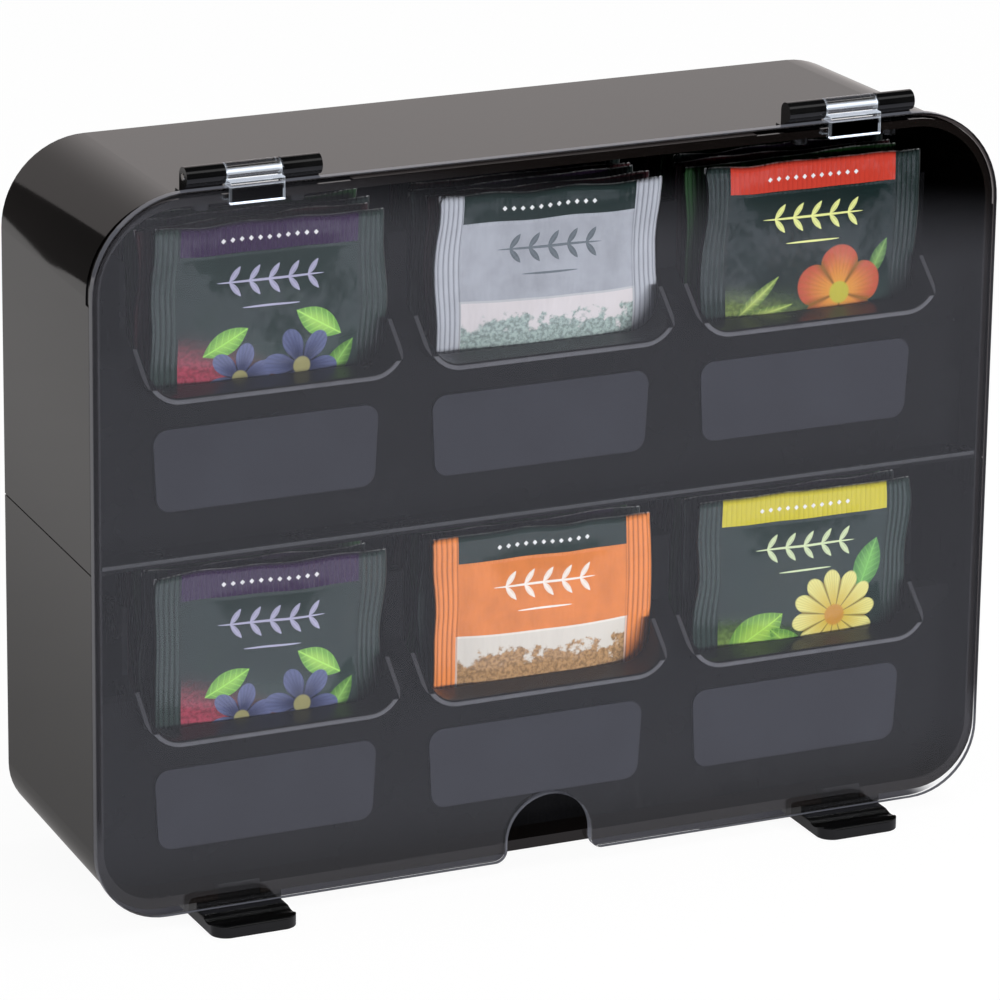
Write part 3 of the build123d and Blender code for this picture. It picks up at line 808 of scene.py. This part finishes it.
def addPouch(mesh, uvLayer, middle, lean, seed, slot):
    # two sheets, sealed all round and swollen between the seams
    halfWidth, halfHeight = pouch["width"] / 2, pouch["height"] / 2
    seamEdge = 1 - pouch["seam"] / halfWidth
    topEdge = 1 - pouch["topSeal"] / halfHeight
    made = []
    for side in (-1, 1):
        grid = bmesh.ops.create_grid(mesh, x_segments=pouch["columns"], y_segments=pouch["rows"],
                                     size=1.0)
        for face in {face for vert in grid["verts"] for face in vert.link_faces}:
            face.material_index = slot
            face.smooth = True
            for loop in face.loops:
                loop[uvLayer].uv = ((loop.vert.co.x + 1) / 2, (loop.vert.co.y + 1) / 2)
            if side > 0:
                face.normal_flip()
        for vert in grid["verts"]:
            u, v = vert.co.x, vert.co.y
            wide = max(0.0, 1 - (abs(u) / seamEdge) ** pouch["sidePower"])
            tall = max(0.0, 1 - (abs(v) / topEdge) ** pouch["topPower"])
            swell = pouch["halfFill"] * (wide * tall) ** pouch["swellPower"]
            atEdge = max(abs(u), abs(v)) > 0.999
            gap = 0.0 if atEdge else pouch["sheet"] + swell
            gap *= 1 + pouch["puff"] * noise.noise(Vector((u * 2.3, v * 1.9, seed)))
            drift = pouch["spread"] * noise.noise(Vector((u * 1.1 + 7, v * 1.3, seed + 3)))
            # the cut edges run a little wavy
            sideWave = noise.noise(Vector((u * 0.6 + 3, v * 2.4, seed + 9)))
            sideWave *= pouch["sideWave"] * abs(u) ** 3
            topWave = noise.noise(Vector((u * 2.6, v + 5, seed + 12)))
            topWave *= pouch["topWave"] * abs(v) ** 3
            vert.co = Vector((u * halfWidth + sideWave, side * gap + drift, v * halfHeight + topWave))
        made += grid["verts"]
    bmesh.ops.remove_doubles(mesh, verts=made, dist=1e-6)
    made = [vert for vert in made if vert.is_valid]
    bmesh.ops.rotate(mesh, verts=made, cent=(0, 0, 0), matrix=Matrix.Rotation(lean, 3, "Y"))
    bmesh.ops.translate(mesh, verts=made, vec=middle)


# prints from front to back, then each packet's sideways shift in millimetres and its lean
stacks = {
    "upper_left": {
        "prints": ["violet", "wine", "dusk", "meadow", "dusk", "wine"],
        "shift": [0, -1.6, 0.8, -0.6, 1, -1.2],
        "lean": [0.012, -0.006, 0.008, -0.010, 0.004, 0.006]},
    "upper_middle": {
        "prints": ["silver", "wine", "dusk", "wine", "dusk", "wine"],
        "shift": [0, -0.6, -1.8, -0.4, -1, -1.6],
        "lean": [0.020, 0.004, -0.006, 0.008, 0.0, 0.004]},
    "upper_right": {
        "prints": ["scarlet", "meadow", "wine", "dusk", "meadow", "wine"],
        "shift": [0, -3, -3.6, -1.6, -2, -2.8],
        "lean": [0.014, -0.004, 0.006, 0.002, 0.006, -0.006]},
    "lower_left": {
        "prints": ["violet", "dusk", "meadow", "dusk", "wine", "dusk"],
        "shift": [0, -1.8, -1, 0.6, -1.4, 0.4],
        "lean": [0.012, 0.002, -0.008, 0.006, 0.0, 0.006]},
    "lower_middle": {
        "prints": ["orange", "dusk", "meadow", "dusk", "wine", "dusk"],
        "shift": [0, -1.2, -2, -0.6, -1.4, -1],
        "lean": [0.014, 0.0, 0.006, -0.004, 0.008, 0.002]},
    "lower_right": {
        "prints": ["lemon", "dusk", "meadow", "dusk", "wine", "dusk"],
        "shift": [0, -1.4, -2.2, -0.8, -1.6, -1.2],
        "lean": [0.012, 0.004, -0.006, 0.002, 0.008, 0.0]},
}
stackSpacing = {"front": 0.0025, "slack": 0.0005, "stackSeed": 11.0, "packetSeed": 5.7}


def makeStack(place, look, seed):
    low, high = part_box(f"sachet_stack_{place}")
    pitch = (high.y - low.y + stackSpacing["slack"]) / len(look["prints"])
    names = sorted(set(look["prints"]))
    mesh = bmesh.new()
    uvLayer = mesh.loops.layers.uv.new("print")
    for index, printName in enumerate(look["prints"]):
        middle = Vector(((low.x + high.x) / 2 + look["shift"][index] / 1000,
                         low.y + stackSpacing["front"] + pitch * index, (low.z + high.z) / 2))
        addPouch(mesh, uvLayer, middle, look["lean"][index], seed + stackSpacing["packetSeed"] * index,
                 names.index(printName))
    piece = meshObject(f"sachets_{place}", mesh)
    for name in names:
        piece.data.materials.append(materials[name])
    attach(piece, "box")
    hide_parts(f"sachet_stack_{place}")


for number, (place, look) in enumerate(stacks.items()):
    makeStack(place, look, stackSpacing["stackSeed"] * number)
print("sachets made")


def seenDirectly(tree):
    # 1 for what the camera sees, also through the clear door, and 0 for what lights the object
    path = addNode(tree, "ShaderNodeLightPath").outputs
    bounces = plus(tree, path["Diffuse Depth"], path["Glossy Depth"])
    through = times(tree, path["Is Transmission Ray"], calc(tree, "LESS_THAN", bounces, 0.5))
    return larger(tree, path["Is Camera Ray"], through)


def mirroredOnce(tree):
    # 1 for what the gloss of the plastic mirrors, before any matt surface
    path = addNode(tree, "ShaderNodeLightPath").outputs
    mirrored = times(tree, calc(tree, "GREATER_THAN", path["Glossy Depth"], 0.5),
                     calc(tree, "LESS_THAN", path["Diffuse Depth"], 0.5))
    return larger(tree, path["Is Glossy Ray"], mirrored)


# front and back are the floor's colours as the gloss sees them, the pairs are places in metres
floorLook = {
    "size": 14.0, "front": (0.53, 0.54, 0.62), "back": (0.54, 0.525, 0.52), "frontToBack": (-0.10, 0.0),
    "besideShade": 0.55, "beside": (0.13, 0.25), "endSlope": 0.6, "end": (-0.86, -0.725),
    "underSide": (0.128, 0.116), "underFront": (-0.0197, -0.0187), "underBack": (0.050, 0.040),
    "underColor": (0.02, 0.02, 0.028), "seenLight": 0.94, "seenShade": (0.12, 0.12, 0.12),
}


def floorMaterial(look):
    material, tree, shader, surface = newMaterial("paleFloor")
    across, depth = axes(tree)[:2]
    fromMiddle = absolute(tree, across)
    # close beside the box it is darker: painted shade in the floor that the gloss mirrors
    beside = remap(tree, fromMiddle, *look["beside"])
    behind = blendColors(tree, beside, toned(look["back"], look["besideShade"]), rgba(look["back"]))
    lit = blendColors(tree, remap(tree, depth, *look["frontToBack"]), rgba(look["front"]), behind)
    # the pale table ends in front of the box, along a slanted line
    fromEnd = calc(tree, "MULTIPLY_ADD", across, -look["endSlope"], depth)
    grain = remap(tree, noiseOf(tree, objectPlace(tree), 40.0, 3.0), 0.0, 1.0, 0.97, 1.0)
    onTable = times(tree, remap(tree, fromEnd, *look["end"]), grain)
    feed(tree, shader, color=blendColors(tree, onTable, (0.004, 0.004, 0.005, 1.0), lit))
    shader.inputs["Roughness"].default_value = 0.9
    shader.inputs["Specular IOR Level"].default_value = 0.0
    # mirrored in the plastic it is evenly lit
    tinted = blendColors(tree, onTable, (0.0, 0.0, 0.0, 1.0), lit)
    glow = addNode(tree, "ShaderNodeEmission", {"Color": tinted, "Strength": 1.0})
    lower = addNode(tree, "ShaderNodeMixShader",
                    {0: mirroredOnce(tree), 1: shader.outputs[0], 2: glow.outputs[0]})
    # through the door's lower edge the shade under the box shows
    under = remap(tree, fromMiddle, *look["underSide"])
    under = times(tree, under, remap(tree, depth, *look["underFront"]))
    under = times(tree, under, remap(tree, depth, *look["underBack"]))
    under = times(tree, under, addNode(tree, "ShaderNodeLightPath").outputs["Is Transmission Ray"])
    under = blendColors(tree, under, (1, 1, 1, 1), rgba(look["underColor"]))
    # seen straight on it is white and keeps a little of the shadow
    pale = addNode(tree, "ShaderNodeEmission", {"Color": under, "Strength": look["seenLight"]})
    shade = addNode(tree, "ShaderNodeBsdfDiffuse", {"Color": rgba(look["seenShade"])})
    seen = addNode(tree, "ShaderNodeAddShader", {0: pale.outputs[0], 1: shade.outputs[0]})
    both = addNode(tree, "ShaderNodeMixShader",
                   {0: seenDirectly(tree), 1: lower.outputs[0], 2: seen.outputs[0]})
    tree.links.new(both.outputs[0], surface)
    return material


def makeSheet(name, corners, material):
    mesh = bmesh.new()
    mesh.faces.new([mesh.verts.new(corner) for corner in corners])
    sheet = meshObject(name, mesh)
    sheet.data.materials.append(material)
    return sheet


# a graded sweep behind the box, a brighter strip low on its left, and a dark flag that gives the
# rounded corner its band; tone is the brightness at the left and at the right
cards = {
    "sweep": {"corners": [(-3.0, 1.3, 0), (3.0, 1.3, 0), (3.0, 1.3, 1.6), (-3.0, 1.3, 1.6)],
              "tone": (0.43, 0.71)},
    "sweepLow": {"corners": [(-1.8, 1.25, 0), (-0.4, 1.25, 0), (-0.4, 1.25, 0.25), (-1.8, 1.25, 0.25)],
                 "tone": (0.72, 0.72)},
    "flag": {"corners": [(-0.336, 0.65, 0.008), (-0.336, 0.65, 0.60), (-1.03, 0.65, 0.60)],
             "tone": (0.06, 0.06)},
}
cardColor = (1.0, 0.935, 0.92)
cardBlend = (-0.25, 0.40)  # from the left tone to the right one, along x


def cardMaterial(name, tone):
    material = bpy.data.materials.new(name)
    tree = emptyTree(material)
    strength = remap(tree, axes(tree)[0], *cardBlend, *tone)
    glow = addNode(tree, "ShaderNodeEmission", {"Color": rgba(cardColor), "Strength": strength})
    tree.links.new(glow.outputs[0], addNode(tree, "ShaderNodeOutputMaterial").inputs["Surface"])
    return material


def makeCard(name, look):
    # cards and flags only show in the gloss of the plastic
    card = makeSheet(name, look["corners"], cardMaterial(name, look["tone"]))
    for ray in ("camera", "diffuse", "transmission", "shadow"):
        setattr(card, f"visible_{ray}", False)


# light from all round, and a soft strip high in front that shows in the gloss of hinges and rims
worldLook = {"ambient": 0.30, "gloss": 0.03, "stripLow": (0.60, 0.68), "stripHigh": (0.90, 0.82),
             "stripFront": (-0.15, -0.35)}


def makeWorld(look):
    world = bpy.data.worlds.new("studio")
    bpy.context.scene.world = world
    tree = emptyTree(world)
    ahead = addNode(tree, "ShaderNodeTexCoord").outputs["Generated"]
    way = addNode(tree, "ShaderNodeSeparateXYZ", {0: ahead}).outputs
    strip = times(tree, remap(tree, way[2], *look["stripLow"]), remap(tree, way[2], *look["stripHigh"]))
    strip = times(tree, strip, remap(tree, way[1], *look["stripFront"]))
    gloss = larger(tree, strip, look["gloss"])
    lit = addNode(tree, "ShaderNodeMix", {0: mirroredOnce(tree), 2: look["ambient"], 3: gloss})
    level = addNode(tree, "ShaderNodeMix", {0: seenDirectly(tree), 2: lit.outputs[0], 3: 1.0})
    sky = addNode(tree, "ShaderNodeBackground", {"Color": (1, 1, 1, 1), "Strength": level.outputs[0]})
    tree.links.new(sky.outputs[0], addNode(tree, "ShaderNodeOutputWorld").inputs["Surface"])


lamps = {
    "keyLamp": {"power": 33.0, "size": (1.0, 0.30), "place": (0.55, -1.5, 0.17)},
    "topLamp": {"power": 4.0, "size": (0.7, 0.7), "place": (0.55, -0.1, 1.6)},
}
lampTarget = (0, 0, 0.1)


def makeLamp(name, look):
    # hidden from the gloss and from rays through the door, where they would sparkle
    lamp = bpy.data.lights.new(name, "AREA")
    lamp.energy = look["power"]
    lamp.shape = "RECTANGLE"
    lamp.size, lamp.size_y = look["size"]
    holder = addObject(name, lamp)
    holder.location = look["place"]
    holder.visible_glossy = holder.visible_transmission = False
    ahead = Vector(lampTarget) - Vector(look["place"])
    holder.rotation_euler = ahead.to_track_quat("-Z", "Y").to_euler()


half = floorLook["size"] / 2
makeSheet("floor", [(-half, -half, 0), (half, -half, 0), (half, half, 0), (-half, half, 0)],
          floorMaterial(floorLook))
for name, look in cards.items():
    makeCard(name, look)
makeWorld(worldLook)
for name, look in lamps.items():
    makeLamp(name, look)
print("studio ready")


# fitted to the photograph's viewing angle: place in metres, turns in degrees, lens in millimetres
cameraPlace = {"location": (-0.6515, -1.39505, 0.6101), "yaw": 24.98, "pitch": 18.50, "roll": 0.79,
               "lens": 217.65, "sensor": 36.0, "clipStart": 0.05}


def makeCamera(look):
    yaw, pitch, roll = (math.radians(look[key]) for key in ("yaw", "pitch", "roll"))
    ahead = Vector((math.sin(yaw) * math.cos(pitch), math.cos(yaw) * math.cos(pitch), -math.sin(pitch)))
    right = Vector((math.cos(yaw), -math.sin(yaw), 0))
    up = right.cross(ahead)
    rightTurned = right * math.cos(roll) + up * math.sin(roll)
    upTurned = up * math.cos(roll) - right * math.sin(roll)
    data = bpy.data.cameras.new("camera")
    data.lens = look["lens"]
    data.sensor_width = look["sensor"]
    data.clip_start = look["clipStart"]
    camera = addObject("camera", data)
    turn = Matrix((rightTurned, upTurned, -ahead)).transposed()
    camera.matrix_world = Matrix.Translation(look["location"]) @ turn.to_4x4()
    bpy.context.scene.camera = camera


makeCamera(cameraPlace)
bpy.context.scene.view_settings.view_transform = "Standard"

print("scene ready")
